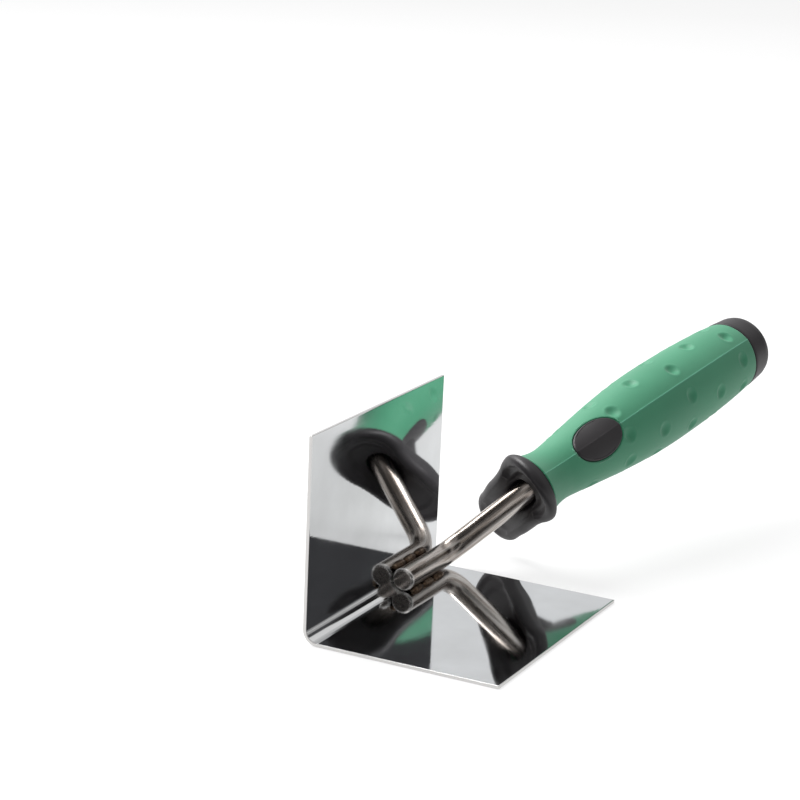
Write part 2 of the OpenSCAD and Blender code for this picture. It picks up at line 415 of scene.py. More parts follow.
def edge_share(points):
    """1 on the cut edges of the sheet, FOLD_DULL in the fold, where the press dulled it, else 0."""
    from_end = np.minimum(points[:, 0], BLADE_LEN - points[:, 0])
    from_tip = np.minimum(points[:, 1] + WING, WING - points[:, 2])
    fold = FOLD_DULL * smooth(points[:, 1], -FOLD_R - 0.2, -FOLD_R + 0.6)
    fold = fold * (1 - smooth(points[:, 2], FOLD_R - 0.6, FOLD_R + 0.2))
    return np.maximum(1 - smooth(np.minimum(from_end, from_tip), 0.02, 0.3), fold)


blade_points, blade_faces = blade_surface()
add_piece("blade_sheet", blade_points, blade_faces, steel, "blade_steel", ["blade"],
          edge=edge_share(blade_points))

# %% [markdown]
# ## The bar
# The tang is a cold-bent round bar. Its centre line is two arcs and three straight runs,
# so it can be walked by length: the direction turns only inside a bend. A circle carried
# along the walk makes the skin. The outside of each bend is drawn a little flat, as a
# real bend is. The skin also stores where it is round the bar and along it, because the
# streaks must follow the bar round its bends. They are partly polishing streaks and partly
# painted reflection bands.

# %% Bar centre line
SHOULDER_TURN = RISER_ANGLE - GRIP_ANGLE
KNEE_TANGENT = KNEE_R * math.tan(RISER_ANGLE / 2)
SHOULDER_TANGENT = SHOULDER_R * math.tan(SHOULDER_TURN / 2)
LEG_LEN = KNEE_X - KNEE_TANGENT - (BLADE_LEN - WELD_LEG)
RISER_LEN = RISER_HEIGHT / math.sin(RISER_ANGLE) - KNEE_TANGENT - SHOULDER_TANGENT
TANG_END = 52.0
KNEE_AT = LEG_LEN + KNEE_R * RISER_ANGLE / 2
KNEE_END = LEG_LEN + KNEE_R * RISER_ANGLE
SHOULDER_AT = KNEE_END + RISER_LEN
SHOULDER_END = SHOULDER_AT + SHOULDER_R * SHOULDER_TURN
BAR_LEN = SHOULDER_END + TANG_END - SHOULDER_TANGENT + PAST_SHOULDER
KNEE_FLAT, SHOULDER_FLAT, FLAT_LEN = 0.28, 0.2, 5.0


def bar_line(s):
    """Centre (x, h) and heading at length s: the heading is the turning done so far."""
    fine = np.linspace(0, BAR_LEN, 6001)
    heading = np.clip((fine - LEG_LEN) / KNEE_R, 0, RISER_ANGLE)
    heading = heading - np.clip((fine - SHOULDER_AT) / SHOULDER_R, 0, SHOULDER_TURN)
    step = fine[1] - fine[0]
    x = BLADE_LEN - WELD_LEG + np.r_[0, np.cumsum(np.cos((heading[1:] + heading[:-1]) / 2))] * step
    h = LEG_H + np.r_[0, np.cumsum(np.sin((heading[1:] + heading[:-1]) / 2))] * step
    return np.interp(s, fine, x), np.interp(s, fine, h), np.interp(s, fine, heading)


def bar_middle(s):
    """One point (x, h, w) of the centre line."""
    x, h, _ = bar_line(s)
    return [float(x), float(h), 0.0]


def bar_skin(s, radius, angle):
    """Circle of a radius round the centre line, less a bell of flatness outside each bend."""
    x, h, heading = bar_line(s)
    across = np.stack([-np.sin(heading), np.cos(heading)], -1)
    knee_bell = KNEE_FLAT * np.exp(-(((s - KNEE_AT) / FLAT_LEN) ** 2))
    shoulder_bell = SHOULDER_FLAT * np.exp(-(((s - SHOULDER_AT - FLAT_LEN) / FLAT_LEN) ** 2))
    flat = knee_bell * np.clip(-np.cos(angle), 0, 1) ** 3
    flat = flat + shoulder_bell * np.clip(np.cos(angle), 0, 1) ** 3
    reach = radius - flat * (radius > BAR_R * 0.9)
    return np.stack([x + reach * np.cos(angle) * across[..., 0], h + reach * np.cos(angle) * across[..., 1],
                     reach * np.sin(angle)], -1)


print("bar length", round(BAR_LEN, 1), "mm, ends at", valley_to_row(bar_middle(BAR_LEN)).round(1))

# %% [markdown]
# ## Bar steel
# The bar was never polished like the blade. Light grey-brown metal shows long streaks that
# run along it. Their dark and pale bands are partly real streaks and partly painted
# reflection and highlight. The welding left a tint: straw where the steel was hot, brown and a
# touch of blue beside the beads. The tint follows an attribute that fades with distance
# from the welds.

# %% Bar material
def bar_steel():
    """Streaked steel times the weld's tint, with its own grey on the cut face and its rim; the streaks are
    partly painted reflection.
    """
    material, tree, shader = shader_of("bar_steel", Metallic=1.0)
    skin = attribute(tree, "skin", "Vector")
    place = object_vector(tree)
    stretched = tree.nodes.new("ShaderNodeMapping")
    stretched.inputs["Scale"].default_value = (1.0, 1.0, 0.05)
    tree.links.new(skin, stretched.inputs["Vector"])
    streak_and_reflection = noise(tree, stretched.outputs["Vector"], 0.7, 5, 0.6)
    blotch = noise(tree, place, 260, 4, 0.6)
    heat = attribute(tree, "heat")
    # Painted reflection: this ramp runs from near black to pale, partly real streaks and partly painted
    # reflection bands and highlights.
    streak_and_reflection_tone = ramp(tree, streak_and_reflection, (0.34, (0.18, 0.152, 0.130)), (0.44, (0.33, 0.29, 0.262)),
                 (0.54, (0.50, 0.463, 0.43)), (0.66, (0.68, 0.65, 0.62)))
    patchy_heat = maths(tree, "MULTIPLY", heat, remap(tree, blotch, 0.35, 0.65, 0.45, 1.25))
    tint = ramp(tree, patchy_heat, (0.0, (1, 1, 1)), (0.35, (0.95, 0.80, 0.58)),
                (0.62, (0.62, 0.40, 0.25)), (0.95, (0.22, 0.17, 0.17)))
    tinted = blend(tree, 1.0, streak_and_reflection_tone, tint, "MULTIPLY")
    faced = blend(tree, attribute(tree, "cut"), tinted, (0.40, 0.36, 0.34))
    rimmed = blend(tree, attribute(tree, "rim"), faced, (0.74, 0.72, 0.70))
    tree.links.new(rimmed, shader.inputs["Base Color"])
    streaky = remap(tree, streak_and_reflection, 0.3, 0.7, 0.22, 0.33)
    rough = maths(tree, "ADD", streaky, remap(tree, heat, 0.2, 1.0, 0.0, 0.16))
    tree.links.new(rough, shader.inputs["Roughness"])
    fine = noise(tree, place, 1400, 2)
    bump(tree, shader, (streak_and_reflection, 0.10, 0.0003), (fine, 0.05, 0.0001), (blotch, 0.06, 0.0003))
    return material


bar_metal = bar_steel()
print("bar steel has", len(bar_metal.node_tree.nodes), "nodes")

# %% Bar surface
PAST_CHAMFER = 1.6
HOT_LEN, HEAT_FADE = 19.0, 7.0


def bar_surface(columns=72):
    """Rings along the bar, with a broken edge and a flat cut face at each end."""
    chamfer = np.array([[2.2, 0.0], [2.7, 0.0], [2.9, 0.03], [3.4, 0.5], [3.5, 0.68], [3.5, 0.95]])
    stops = [PAST_CHAMFER, LEG_LEN, KNEE_END, SHOULDER_AT, SHOULDER_END, BAR_LEN - PAST_CHAMFER]
    runs = [np.linspace(a, b, n) for a, b, n in zip(stops, stops[1:], (14, 24, 22, 22, 14))]
    middle = np.concatenate([runs[0], *(run[1:] for run in runs[1:])])
    along = np.r_[chamfer[:, 1], middle, BAR_LEN - chamfer[::-1, 1]]
    radius = np.r_[chamfer[:, 0], np.full(len(middle), BAR_R), chamfer[::-1, 0]]
    angle = np.linspace(0, 2 * math.pi, columns, endpoint=False)
    s, a = np.meshgrid(along, angle, indexing="ij")
    rings = bar_skin(s, radius[:, None] * np.ones_like(a), a)
    points, faces = closed_rings(rings, bar_middle(0.0), bar_middle(BAR_LEN))
    skin = np.stack([radius[:, None] * np.cos(a), radius[:, None] * np.sin(a), s], -1).reshape(-1, 3)
    skin = np.vstack([skin, [0, 0, 0], [0, 0, BAR_LEN]])
    turn = np.r_[a.ravel(), 0, 0]
    under = np.clip(-np.cos(turn), 0, 1)
    beside = smooth(np.abs(np.sin(turn)), 0.15, 0.75) * 0.75 + 0.35
    hot = np.exp(-((np.maximum(skin[:, 2] - HOT_LEN, 0) / HEAT_FADE) ** 2)) * beside
    heat = np.clip(hot * (0.42 + 0.6 * under) * smooth(skin[:, 2], -2.0, 4.0), 0, 1)
    return valley_to_row(points), faces, skin, heat


bar_points, bar_faces, bar_where, bar_heat = bar_surface()
bar_reach = np.hypot(bar_where[:, 0], bar_where[:, 1])
bar_rim = smooth(bar_reach, 2.6, 3.0) * (1 - smooth(bar_where[:, 2], 0.7, 1.1))
bar_cut = 1 - smooth(bar_reach, 2.7, 2.9)
add_piece("bar_tang", bar_points, bar_faces, bar_metal, "tang_steel", ["tang"], skin=bar_where,
          heat=bar_heat * (1 - bar_rim), rim=bar_rim, cut=bar_cut)

# %% [markdown]
# ## The welds
# Stitch welds hold the bar: short beads in the nip between the bar and each wing. A bead
# is a long egg whose skin ripples where the weld pool froze in steps. Its underside is
# cut flat inside the sheet, so it never shows through the working face. Hot weld metal
# cools dull and brown, so it is rougher and darker than anything round it.

# %% Weld material and beads
def weld_metal():
    """Scorched metal: spots run from near black to dull grey, and the dark ones are rougher."""
    material, tree, shader = shader_of("weld_bead_metal", Metallic=1.0)
    place = object_vector(tree)
    spots = noise(tree, place, 620, 5, 0.65)
    tone = ramp(tree, spots, (0.32, (0.035, 0.026, 0.022)), (0.52, (0.13, 0.085, 0.055)),
                (0.72, (0.34, 0.28, 0.22)))
    tree.links.new(tone, shader.inputs["Base Color"])
    tree.links.new(remap(tree, spots, 0.3, 0.7, 0.5, 0.28), shader.inputs["Roughness"])
    bump(tree, shader, (spots, 0.35, 0.0004))
    return material


BEAD_R = 1.2
BEAD_LEN = 6.4
RIPPLE, RIPPLE_LEN = 0.055, 1.15
STITCHES = 3
BEAD_PITCH = (WELD_LEG - KNEE_TANGENT - 2) / STITCHES


def bead(at, phase, rows=26, columns=28):
    """Egg along x, with ripples along it and a flat underside just inside the sheet."""
    t = np.linspace(0, math.pi, rows + 2)[1:-1, None]
    a = np.linspace(0, 2 * math.pi, columns, endpoint=False)[None, :]
    x = at + BEAD_LEN / 2 * (1 - np.cos(t)) + 0 * a
    ripple = 1 + RIPPLE * np.cos(2 * math.pi * x / RIPPLE_LEN + 1.3 * np.cos(a) + phase)
    width = BEAD_R * np.sin(t) ** 0.6 * ripple * (1 + 0.05 * np.sin(3 * a + phase) * np.sin(t))
    y = -(LEG_H / ROOT2 + BAR_R * 0.8) + width * np.cos(a)
    z = np.maximum(SHEET + 0.15 + width * 0.92 * np.sin(a), SHEET - 0.35)
    rings = np.stack([x, y, z], -1)
    return closed_rings(rings, rings[0].mean(0), rings[-1].mean(0))


def bead_row(phases):
    """Beads one pitch apart, as one mesh."""
    points, faces = [], []
    for i, phase in enumerate(phases):
        p, f = bead(BLADE_LEN - WELD_LEG + 1 + i * BEAD_PITCH, phase)
        base = sum(len(q) for q in points)
        points.append(p)
        faces += [[k + base for k in face] for face in f]
    return np.vstack(points), faces


weld_finish = weld_metal()
low_points, low_faces = bead_row([0.2, 1.9, 3.4])
add_piece("weld_beads_lower", low_points, low_faces, weld_finish, "weld_metal", ["weld_lower"])
high_points, high_faces = bead_row([1.1, 2.6, 0.5])
high_points = high_points[:, [0, 2, 1]] * [1, -1, -1]
add_piece("weld_beads_upper", high_points, high_faces, weld_finish, "weld_metal", ["weld_upper"])

# %% [markdown]
# ## The shape of the grip
# The grip is turned about the handle axis: a radius for each place along it, from three
# cubic curves. On top it isn't round. Two flatter cheeks meet in a soft ridge, with the
# thin line where the halves of the mould closed. Rows of round dimples are pressed into
# the sides, each row turned half a step from the last.

# %% Grip radius and dimples
GRIP_LEN = 102.0
FLARE_FRONT = -11.5
FLARE_R, NECK_R, BELLY_R, TAIL_R = 11.1, 8.65, 13.35, 11.6
NECK_AT, BELLY_AT = 1.5, 59.0
CORE_R = 7.0
flare, neck = [FLARE_R, FLARE_FRONT], [NECK_R, NECK_AT]
belly, tail = [BELLY_R, BELLY_AT], [TAIL_R, GRIP_LEN]
profile = np.vstack([
    bezier(flare, [NECK_R + 1.2, -8], [NECK_R, -4], neck, 40),
    bezier(neck, [NECK_R, NECK_AT + 6], [BELLY_R, BELLY_AT - 24], belly, 60)[1:],
    bezier(belly, [BELLY_R, BELLY_AT + 18], [TAIL_R + 1.2, GRIP_LEN - 12], tail, 60)[1:],
])
RIDGE, MOULD_LINE = 0.046, 0.06
DIMPLE_R, DIMPLE_DEPTH, DIMPLE_RIM = 2.45, 0.85, 0.07
DIMPLE_START, DIMPLE_PITCH = 29.0, 16.2
EVEN_ROW = (-157, -112, -67, -22, 22, 67, 112, 157)
ODD_ROW = (-132, -88, -44, 44, 88, 132, 180)


def dimple_places():
    """(u, angle) of each dimple: rows a pitch apart, every other row turned by half a step."""
    places = [(DIMPLE_START - DIMPLE_PITCH, math.radians(a)) for a in (-88, 88)]
    for row in range(5):
        turns = EVEN_ROW if row % 2 == 0 else ODD_ROW
        places += [(DIMPLE_START + row * DIMPLE_PITCH, math.radians(a)) for a in turns]
    return places


def turned_radius(u):
    """Radius of the plain turned shape, read off the profile."""
    return np.interp(u, profile[:, 1], profile[:, 0])


def grip_radius(u, angle):
    """Turned radius, plus the ridge on top, the mould line on it, less the dimples."""
    radius = turned_radius(u)
    top = (np.cos(angle) > 0) * (1 - np.abs(np.sin(angle))) ** 3
    ridge = RIDGE * top * smooth(u, -16, 14) * (1 - 0.45 * smooth(u, 88, 104))
    radius = radius * (1 + ridge)
    from_top = np.arctan2(np.sin(angle), np.cos(angle)) * radius
    radius = radius + MOULD_LINE * np.exp(-((from_top / 0.16) ** 2))
    for at, round_at in dimple_places():
        gap = (angle - round_at + math.pi) % (2 * math.pi) - math.pi
        near = ((u - at) ** 2 + (gap * turned_radius(at)) ** 2) / DIMPLE_R**2
        radius = radius - DIMPLE_DEPTH * np.clip(1 - near, 0, 1) ** 1.25
        radius = radius + DIMPLE_RIM * np.exp(-(((np.sqrt(near) - 1.15) / 0.16) ** 2))
    return radius


def around_axis(u, angle, radius):
    """Handle-frame point at a radius from the axis: angle 0 is the top, w is the right."""
    return np.stack([u, radius * np.cos(angle), radius * np.sin(angle)], -1)


print("grip radius at neck, belly, tail:", turned_radius([NECK_AT, BELLY_AT, GRIP_LEN]).round(2))

# %% [markdown]
# ## Two black islands
# The hard core shows through the green twice: an oval thumb pad on top and a long tongue
# below. The outline of each is a rounded box in the skin's own two directions, along the
# handle and round it. One power sets it from oval to square. The pad sits in a pocket with
# a rounded lip. The tongue comes out of the guard and lies over a shallow bed.

# %% Island outlines
PAD = {"at": 17.0, "turn": 0.0, "half_len": 10.2, "half_turn": 0.65, "power": 2.0}
TONGUE = {"at": 6.0, "turn": math.pi, "half_len": 15.5, "half_turn": 1.06, "power": 3.6}
POCKET = 1.3
LIP = [(0.55, 0.0), (0.34, 0.02), (0.17, 0.09), (0.06, 0.22), (0.0, 0.42), (0.0, POCKET)]


def turn_from(angle, middle):
    """Angle from a middle, between half a turn back and half a turn on."""
    return (angle - middle + math.pi) % (2 * math.pi) - math.pi


def island_edge(island, du, turn):
    """Scale that takes an offset (du, turn) from the island's middle out to its outline."""
    n = island["power"]
    size = np.abs(du / island["half_len"]) ** n + np.abs(turn / island["half_turn"]) ** n
    return np.maximum(size, 1e-12) ** (-1 / n)


def island_distance(island, u, angle):
    """About how far a point of the skin is outside the outline, in mm."""
    du, turn = u - island["at"], turn_from(angle, island["turn"])
    length = np.hypot(du, turn * turned_radius(u))
    return length * (1 - island_edge(island, du, turn))


def island_rows(island, du, turn, moves):
    """Rows of points beside the outline: each move is (mm outward, mm below the skin)."""
    scale = island_edge(island, du, turn)
    du, turn = du * scale, turn * scale
    length = np.hypot(du, turn * turned_radius(island["at"] + du))
    rows = []
    for outward, depth in moves:
        grow = 1 + outward / length
        u, angle = island["at"] + du * grow, island["turn"] + turn * grow
        rows.append(around_axis(u, angle, grip_radius(u, angle) - depth))
    return rows


pad_width = 2 * PAD["half_turn"] * float(turned_radius(PAD["at"]))
print("pad:", 2 * PAD["half_len"], "mm along the handle,", round(pad_width, 1), "mm round it")

# %% [markdown]
# ## Guard curves
# The guard is a leaning plate. Its front and back are two curves in the plane of the
# handle, each read as u for a given v. The green grip starts a little inside the back
# curve, so the curves are needed before the grip. They are drawn round the guard's own
# middle, which sits ahead of the handle's datum and a little below it.

# %% Front and back of the guard
AHEAD, LOW = 4.3, 1.7
RIB_FOOT = [4, -17.5]
front_curve = np.vstack([
    bezier([-12.1, 11.8], [-10.6, 8.5], [-6.6, 3], [-6, -2], 40),
    bezier([-6, -2], [-5.3, -9], [-2.8, -20.5], [1.2, -29.1], 60)[1:],
])[::-1] - [AHEAD, LOW]
back_curve = np.vstack([
    bezier([5.9, -27.7], [6.6, -25.7], [3.8, -21.5], RIB_FOOT, 30),
    bezier(RIB_FOOT, [4, -6], [-4.4, 1], [-6.3, 12.6], 60)[1:],
]) - [AHEAD, LOW]


def guard_front(v):
    """u of the front face at a height v."""
    return np.interp(v, front_curve[:, 1], front_curve[:, 0])


def guard_back(v):
    """u of the back face at a height v."""
    return np.interp(v, back_curve[:, 1], back_curve[:, 0])


print("guard is", round(float(guard_back(0) - guard_front(0)), 1), "mm thick at the axis")

# %% [markdown]
# ## The green grip
# The skin is one grid, wrapped into a tube with the bore of the core as its inner wall.
# Its columns crowd together at the ridge, so the mould line stays crisp. The faces in
# the pad's window are left out, and the patch of the pocket is sewn to the same points,
# so the whole grip is one closed surface.

# %% Grip grid
GRIP_ROWS, BORE_ROWS = 236, 30
TAIL_EDGE = np.array([(0.35, 0.07), (0.12, 0.24), (0.0, 0.5)])
INSIDE_GUARD = 1.0
FOLLOW_TO = 26.0


def grip_columns():
    """Angles round the grip, crowded beside the ridge at 0."""
    near = np.r_[0, 0.006, 0.014, 0.024, 0.04, 0.062]
    half = np.r_[near, np.linspace(0.095, math.pi, 92)]
    return np.r_[-half[1:-1][::-1], half]


def grip_grid():
    """(u, angle, radius) of the outer skin, whose front edge follows the back of the guard."""
    angle = grip_columns()
    rows = np.r_[np.linspace(FLARE_FRONT, GRIP_LEN - 0.6, GRIP_ROWS), GRIP_LEN - TAIL_EDGE[:, 0]]
    drop = np.r_[np.zeros(GRIP_ROWS), TAIL_EDGE[:, 1]]
    start = guard_back(10.3 * np.cos(angle)) - INSIDE_GUARD
    u = rows[:, None] + (start - FLARE_FRONT) * (1 - smooth(rows, FLARE_FRONT, FOLLOW_TO))[:, None]
    a = np.broadcast_to(angle, u.shape)
    bed = POCKET * smooth(-island_distance(TONGUE, u, a), 0.3, 0.9)
    return u, a, grip_radius(u, a) - drop[:, None] - bed


print("grip grid:", GRIP_ROWS + len(TAIL_EDGE), "rows of", len(grip_columns()), "points")

# %% Grip surface
WINDOW_REACH = 12.0


def pocket(loop, u, angle, first_id):
    """Points and faces that run from the window's edge into the pad's pocket."""
    du, turn = u - PAD["at"], angle - PAD["turn"]
    scale = island_edge(PAD, du, turn)
    clear_of_lip = 1 - LIP[0][0] / WINDOW_REACH
    patch = []
    for share in (0.25, 0.5, 0.75):
        k = 1 + (scale - 1) * share * clear_of_lip
        patch.append(around_axis(PAD["at"] + du * k, turn * k, grip_radius(PAD["at"] + du * k, turn * k)))
    patch += island_rows(PAD, du, turn, LIP)
    for k in (0.66 * scale, 0.33 * scale):
        patch.append(around_axis(PAD["at"] + du * k, turn * k, turned_radius(PAD["at"] + du * k) - POCKET))
    ids = [loop] + [first_id + i * len(loop) + np.arange(len(loop)) for i in range(len(patch))]
    faces = [np.stack([p, np.roll(p, -1), np.roll(q, -1), q], -1).tolist() for p, q in zip(ids[:-1], ids[1:])]
    pole = [PAD["at"], float(turned_radius(PAD["at"])) - POCKET, 0.0]
    faces.append(fan(ids[-1], first_id + len(patch) * len(loop)).tolist())
    return np.vstack([*patch, [pole]]), [face for part in faces for face in part]


def grip_surface():
    """Outer grid and inner wall as one ring of rows, less the window, with the pocket."""
    u, a, radius = grip_grid()
    share = np.linspace(1, 0, BORE_ROWS)[:, None]
    bore_u = (u[0] + 1) * (1 - share) + u[-1] * share
    bore = around_axis(bore_u, a[:BORE_ROWS], np.full(bore_u.shape, CORE_R))
    grid = np.concatenate([around_axis(u, a, radius), bore])
    rows, columns = grid.shape[:2]
    here, after = np.arange(columns), (np.arange(columns) + 1) % columns
    last = (rows - 1) * columns
    faces = np.vstack([ring_quads(rows, columns), np.stack([last + here, last + after, after, here], -1)])
    row_in = np.flatnonzero(np.abs(u[:, columns // 2] - PAD["at"]) < PAD["half_len"] + 1.5)
    column_in = np.flatnonzero(np.abs(a[0]) < PAD["half_turn"] + 0.16)
    r0, r1, c0, c1 = row_in[0], row_in[-1], column_in[0], column_in[-1]
    face_row, face_column = faces[:, 0] // columns, faces[:, 0] % columns
    window = (face_row >= r0) & (face_row < r1) & (face_column >= c0) & (face_column < c1)
    loop = np.r_[r0 * columns + np.arange(c0, c1 + 1), np.arange(r0 + 1, r1) * columns + c1,
                 r1 * columns + np.arange(c1, c0 - 1, -1), np.arange(r1 - 1, r0, -1) * columns + c0]
    patch, patch_faces = pocket(loop, u.ravel()[loop], a.ravel()[loop], rows * columns)
    points = np.vstack([grid.reshape(-1, 3), patch])
    faces = faces[~window].tolist() + patch_faces
    used = np.zeros(len(points), bool)
    used[[k for face in faces for k in face]] = True
    number = np.cumsum(used) - 1
    return points[used], [[int(number[k]) for k in face] for face in faces]


# %% Green finish
LINE_HIGHLIGHT = 0.75


def green_rubber():
    """Matt soft plastic: even colour, fine grain, a painted highlight along the mould line and faint handling
    marks.
    """
    material, tree, shader = shader_of("green_soft_plastic", Specular_IOR_Level=0.42, Sheen_Weight=0.10,
                                       Sheen_Roughness=0.5)
    place = object_vector(tree)
    cloud = noise(tree, place, 38, 4)
    grain = noise(tree, place, 2600, 2)
    # The attribute "line" carries a painted highlight: a paler strip along the mould line.
    line = attribute(tree, "line")
    tone = ramp(tree, cloud, (0.3, (0.030, 0.198, 0.104)), (0.7, (0.040, 0.226, 0.122)))
    tree.links.new(blend(tree, line, tone, (0.10, 0.36, 0.24)), shader.inputs["Base Color"])
    tree.links.new(remap(tree, cloud, 0.3, 0.7, 0.52, 0.62), shader.inputs["Roughness"])
    bump(tree, shader, (grain, 0.16, 0.00012), (noise(tree, place, 320, 3), 0.05, 0.0004))
    return material


grip_points, grip_faces = grip_surface()
grip_turn = np.arctan2(grip_points[:, 2], grip_points[:, 1])
# Painted highlight: the skin is paler in a thin strip along the mould line on top.
mould_line_highlight = np.exp(-((grip_turn * 11 / 0.17) ** 2)) * LINE_HIGHLIGHT
add_piece("soft_grip_skin", handle_to_row(grip_points), grip_faces, green_rubber(), "grip_rubber",
          ["soft_grip"], line=mould_line_highlight)

# %% [markdown]
# ## Hard black plastic
# The core, the pad and the cap are one hard plastic with a fine spark-eroded texture. It is
# nearly black, a shade warm, and shines softly where it bends. Broad faint clouds in the
# roughness keep a large black face from looking painted.

# %% Black material
def black_plastic():
    """Near black, with a cloud that moves both the tone and the roughness a little."""
    material, tree, shader = shader_of("black_hard_plastic", Specular_IOR_Level=0.34)
    place = object_vector(tree)
    cloud = noise(tree, place, 70, 4)
    tone = ramp(tree, cloud, (0.3, (0.016, 0.014, 0.016)), (0.72, (0.026, 0.023, 0.025)))
    tree.links.new(tone, shader.inputs["Base Color"])
    tree.links.new(remap(tree, cloud, 0.3, 0.7, 0.42, 0.52), shader.inputs["Roughness"])
    sparked, wavy = noise(tree, place, 2200, 2), noise(tree, place, 240, 2)
    bump(tree, shader, (sparked, 0.22, 0.0001), (wavy, 0.04, 0.0004))
    return material


black = black_plastic()
print("black plastic has", len(black.node_tree.nodes), "nodes")

# %% [markdown]
# ## The guard as a field
# A dished plate that flows into a collar, a rib and a tongue has no rings to stack. It is
# written as a field instead: a number for each point in space, below zero inside the
# plastic. Two fields meet in `round_max`, which keeps what is inside both and rounds the
# edge between them by a radius. Taking the negative of a field carves it away.

# %% Guard outline
ROUND_R, ROUND_AT = 11.6, 1.0 - LOW
JOIN_AT, WAIST_AT, LOBE_AT = -3.72 - LOW, -12.7 - LOW, -21.0 - LOW
JOIN_W, WAIST_W, LOBE_R = 10.6, 9.6, 8.8


def round_max(a, b, r):
    """Larger of two fields, with the outer edge rounded by r."""
    return np.minimum(np.maximum(a, b), -r) + np.hypot(np.maximum(a + r, 0), np.maximum(b + r, 0))


def round_min(a, b, r):
    """Smaller of two fields, with the inner edge filled by r: the opposite of round_max."""
    return -round_max(-a, -b, r)


def outline_field(v, w):
    """Distance outside the guard's outline: a circle, two S curves down to a lobe, and its end."""
    w = np.abs(w)
    t = np.clip((v - WAIST_AT) / (JOIN_AT - WAIST_AT), 0, 1)
    slope = 0.26 * (JOIN_AT - WAIST_AT)
    upper = WAIST_W + (JOIN_W - WAIST_W) * t * t * (3 - 2 * t) + slope * t * t * (t - 1)
    lower = LOBE_R + (WAIST_W - LOBE_R) * smooth(v, LOBE_AT, WAIST_AT)
    side = w - np.where(v > WAIST_AT, upper, lower)
    top = np.hypot(v - ROUND_AT, w) - ROUND_R
    end = np.hypot(v - LOBE_AT, w) - LOBE_R
    return np.where(v > JOIN_AT, top, np.where(v < LOBE_AT, end, side * 0.97))


def bar_distance(u, v, w):
    """Distance from the bar's centre line: straight run, shoulder arc or riser."""
    over, up = u - (SHOULDER_TANGENT - PAST_SHOULDER), v + SHOULDER_R
    lean = np.arctan2(-over, up)
    nearest = np.clip(lean, 0, SHOULDER_TURN)
    beyond = over * -math.sin(SHOULDER_TURN) + up * math.cos(SHOULDER_TURN) - SHOULDER_R
    flat = np.where(lean < 0, v, np.where(lean > nearest, beyond, np.hypot(over, up) - SHOULDER_R))
    return np.hypot(flat, w)


print("outline reaches down to v =", round(LOBE_AT - LOBE_R, 1), "mm")

# %% Guard field
LEAN_COS = math.cos(0.3)
FRONT_ROUND, BACK_ROUND = 2.7, 1.7
SHELF_IN, SHELF_DEEP = 3.0, 1.1
SLOT_R, SLOT_DEEP = 6.0, 2.7
RIB_HALF, RIB_ROUND = 5.5, 1.4
TONGUE_PROUD, TONGUE_THICK = 0.05, 1.25
WELL_GAP = 0.9
web_curve = bezier(RIB_FOOT, [4.1, -13], [7.5, -10.3], [12.9, LOW - NECK_R - 0.9], 40) - [AHEAD, LOW]


def guard_field(u, v, w):
    """Plate, dish, rib and tongue, less a well round the bar."""
    ahead, behind = (guard_front(v) - u) * LEAN_COS, (u - guard_back(v)) * LEAN_COS
    before_middle = guard_front(v) + 4.5 - u
    outline = outline_field(v, w)
    plate = round_max(round_max(outline, ahead, FRONT_ROUND), behind, BACK_ROUND)
    lobe = smooth(-v, 3.0, 18.0)
    shelf = round_max(outline + SHELF_IN, -ahead - SHELF_DEEP + 0.4 * lobe, 1.3)
    slot = np.hypot(w, np.maximum(np.maximum(v + 0.4, -19.0 - v), 0)) - SLOT_R
    hollow = round_max(slot, -ahead - SLOT_DEEP + 1.5 * lobe, 2.0)
    above_web = np.interp(u, web_curve[:, 0], web_curve[:, 1]) - v
    rib = round_max(np.abs(w) - RIB_HALF, above_web, RIB_ROUND)
    rib = round_max(rib, np.maximum(u - web_curve[-1, 0] - 1, v + 6), 0.5)
    rib = np.maximum(rib, before_middle)
    angle, radius = np.arctan2(w, v), np.hypot(v, w)
    skin = turned_radius(u)
    tongue = round_max(island_distance(TONGUE, u, angle), radius - skin - TONGUE_PROUD, 0.4)
    tongue = np.maximum(tongue, np.maximum(skin - TONGUE_THICK - radius, before_middle))
    body = np.minimum(round_min(plate, rib, 1.6), tongue)
    body = round_max(body, -shelf, 0.9)
    body = round_max(body, -hollow, 0.8)
    well = round_max(bar_distance(u, v, w) - BAR_R - WELL_GAP, u + 2.6, 0.8)
    return round_max(body, -well, 0.7)


half_way = float(guard_front(-20.0) + guard_back(-20.0)) / 2
for name, at in (("inside the plate", half_way), ("in front of it", half_way - 6.0)):
    print("field", name, "is", round(float(guard_field(at, -20.0, 7.0)), 2), "mm")

# %% [markdown]
# ## From the field to a mesh
# Space is cut into small cubes. A cube whose corners are partly inside gets one point, at
# the mean of the places where its edges cross the surface, and every crossed edge joins
# the four cubes round it with a quad. Each point then takes three Newton steps along the
# field's slope, p - f g / (g . g), which puts it on the true surface.

